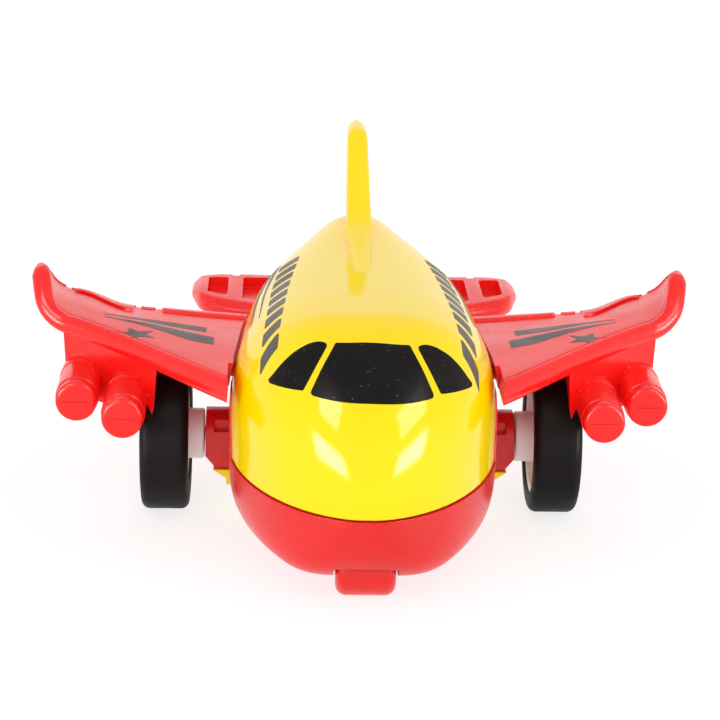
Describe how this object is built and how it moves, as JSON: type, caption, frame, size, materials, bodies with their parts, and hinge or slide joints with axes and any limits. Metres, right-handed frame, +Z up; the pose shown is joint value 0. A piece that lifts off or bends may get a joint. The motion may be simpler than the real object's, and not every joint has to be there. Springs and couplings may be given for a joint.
{
  "type": "toy airplane",
  "caption": "Chunky push-and-go toy airliner: two fuselage shells, swept wings with pods, tailplane, driven wheels, friction flywheel motor and a nose roller.",
  "frame": {"origin": "centre of the bounding box on the floor, under the fuselage", "axes": "+Z up, -Y towards the nose, +X across the wings"},
  "size_m": [0.131, 0.119, 0.0658],
  "materials": {
    "yellow_plastic": "moulded gloss",
    "red_plastic": "moulded gloss",
    "white_plastic": "moulded gloss",
    "gear_plastic": "natural acetal",
    "case_plastic": "natural",
    "tyre_rubber": "satin",
    "steel": "turned",
    "screw_steel": "zinc plated"
  },
  "bodies": {
    "airframe": {"upper_shell": "yellow_plastic", "lower_chassis": "red_plastic", "axle_cover": "yellow_plastic", "tailplane": "red_plastic", "wing_left": "red_plastic", "wing_right": "red_plastic", "motor_case_left": "case_plastic", "motor_case_right": "case_plastic", "nose_wheel_pin": "steel", "body_screw_front_left": "screw_steel", "body_screw_front_right": "screw_steel", "body_screw_wing_left": "screw_steel", "body_screw_wing_right": "screw_steel", "body_screw_tail": "screw_steel", "cover_screw_left": "screw_steel", "cover_screw_right": "screw_steel", "motor_screw_top": "screw_steel", "motor_screw_bottom": "screw_steel"},
    "driven_axle": {"main_axle": "steel", "drive_gear": "gear_plastic", "wheel_core_left": "white_plastic", "wheel_core_right": "white_plastic", "tyre_left": "tyre_rubber", "tyre_right": "tyre_rubber"},
    "layshaft_gear": {"layshaft": "steel", "compound_gear": "gear_plastic"},
    "flywheel_rotor": {"flywheel": "steel", "flywheel_shaft": "steel", "flywheel_pinion": "gear_plastic"},
    "nose_roller": {"nose_wheel": "red_plastic"}
  },
  "joints": [
    {"name": "axle_spin", "type": "hinge", "parent": "airframe", "child": "driven_axle", "pos_m": [0, -0.0025, 0.015], "axis": [1, 0, 0], "continuous": true},
    {"name": "layshaft_spin", "type": "hinge", "parent": "airframe", "child": "layshaft_gear", "pos_m": [0, -0.01034, 0.02158], "axis": [1, 0, 0], "continuous": true},
    {"name": "flywheel_spin", "type": "hinge", "parent": "airframe", "child": "flywheel_rotor", "pos_m": [0, -0.01977, 0.0229], "axis": [1, 0, 0], "continuous": true},
    {"name": "nose_wheel_spin", "type": "hinge", "parent": "airframe", "child": "nose_roller", "pos_m": [0, -0.0485, 0.006], "axis": [1, 0, 0], "continuous": true}
  ],
  "couplings": [
    {"joint": "layshaft_spin", "follows": "axle_spin", "ratio": -2.4},
    {"joint": "flywheel_spin", "follows": "axle_spin", "ratio": 6.72}
  ]
}
